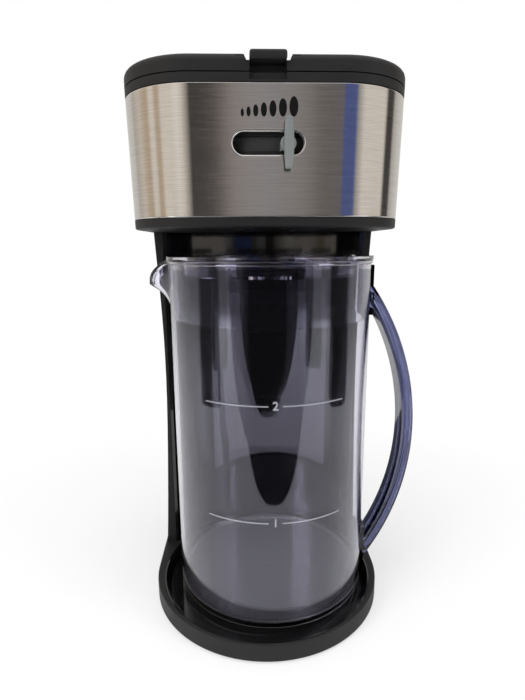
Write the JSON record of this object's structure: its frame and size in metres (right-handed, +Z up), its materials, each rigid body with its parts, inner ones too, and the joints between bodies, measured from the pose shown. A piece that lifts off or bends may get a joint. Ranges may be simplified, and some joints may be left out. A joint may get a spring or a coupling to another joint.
{
  "type": "iced tea and coffee maker",
  "caption": "Tall drip brewer for iced tea and coffee with a clear pitcher, hinged lid, sliding strength lever and rear water tank.",
  "frame": {"origin": "on the table plane, under the axis of the brew outlet and of the round front of the base", "axes": "+X to the right seen from the front, +Y to the back, +Z up"},
  "size_m": [0.2132, 0.2173, 0.3988],
  "materials": {
    "matte_black": "fine matte mould texture",
    "gloss_black": "polished",
    "rubber": "matte",
    "brushed_steel": "fine horizontal brushing",
    "screw_steel": "zinc plated",
    "cast_aluminium": "cast and machined",
    "mark_ink": "printed ink",
    "lever_grey": "satin",
    "basket_black": "satin",
    "fine_mesh": "woven",
    "clear_violet": "clear, faint violet",
    "violet_handle": "clear, violet in the thick parts",
    "smoked_clear": "clear",
    "silicone": "translucent",
    "natural_plastic": "natural"
  },
  "bodies": {
    "machine": {"base_feet": "rubber", "base_plate": "matte_black", "base_screws": "screw_steel", "base_shell": "matte_black", "brew_basket": "basket_black", "brew_deck": "matte_black", "check_valve": "natural_plastic", "cord_gland": "matte_black", "filter_frame": "basket_black", "filter_mesh": "fine_mesh", "head_pan": "matte_black", "head_screws": "screw_steel", "head_shell": "matte_black", "heater_bracket": "screw_steel", "heater_casting": "cast_aluminium", "heater_screws": "screw_steel", "heater_water_tube": "cast_aluminium", "heating_element": "screw_steel", "hose_clamps": "screw_steel", "inlet_hose": "silicone", "lid_hinge_pins": "screw_steel", "riser_hose": "silicone", "rocker_pin": "screw_steel", "shell_screws": "screw_steel", "spout_saddle": "matte_black", "steel_band": "brushed_steel", "strength_marks": "mark_ink", "switch_housing": "matte_black", "terminal_block": "natural_plastic", "thermal_fuses": "natural_plastic", "thermostat": "screw_steel", "top_trim": "matte_black", "tower_front_panel": "gloss_black", "tower_housing": "matte_black", "tower_screws": "screw_steel", "tray_dish": "gloss_black", "water_reservoir": "smoked_clear", "water_spout": "natural_plastic"},
    "brew_lid_body": {"brew_lid": "matte_black", "lid_liner": "matte_black"},
    "selector": {"selector_ring": "basket_black", "selector_lever": "lever_grey"},
    "pitcher": {"pitcher_jug": "clear_violet", "pitcher_handle": "violet_handle", "pitcher_marks": "clear_violet"},
    "pitcher_cover": {"pitcher_lid": "clear_violet"},
    "power_rocker": {"rocker_button": "gloss_black"}
  },
  "joints": [
    {"name": "lid_hinge", "type": "hinge", "parent": "machine", "child": "brew_lid_body", "pos_m": [0, 0.1215, 0.3885], "axis": [-1, 0, 0], "range_deg": [0, 100]},
    {"name": "strength_selector", "type": "hinge", "parent": "machine", "child": "selector", "pos_m": [0, 0, 0.3465], "axis": [0, 0, 1], "range_deg": [-26.5, 6]},
    {"name": "pitcher_slide", "type": "slide", "parent": "machine", "child": "pitcher", "axis": [0, -0.9917, 0.1288], "range_m": [0, 0.18]},
    {"name": "pitcher_lid_turn", "type": "hinge", "parent": "pitcher", "child": "pitcher_cover", "pos_m": [0.0035, 0, 0.275], "axis": [0, 0, 1], "continuous": true},
    {"name": "power_switch", "type": "hinge", "parent": "machine", "child": "power_rocker", "pos_m": [0.08399, 0.066, 0.062], "axis": [0, 1, 0], "range_deg": [-16, 0]}
  ]
}
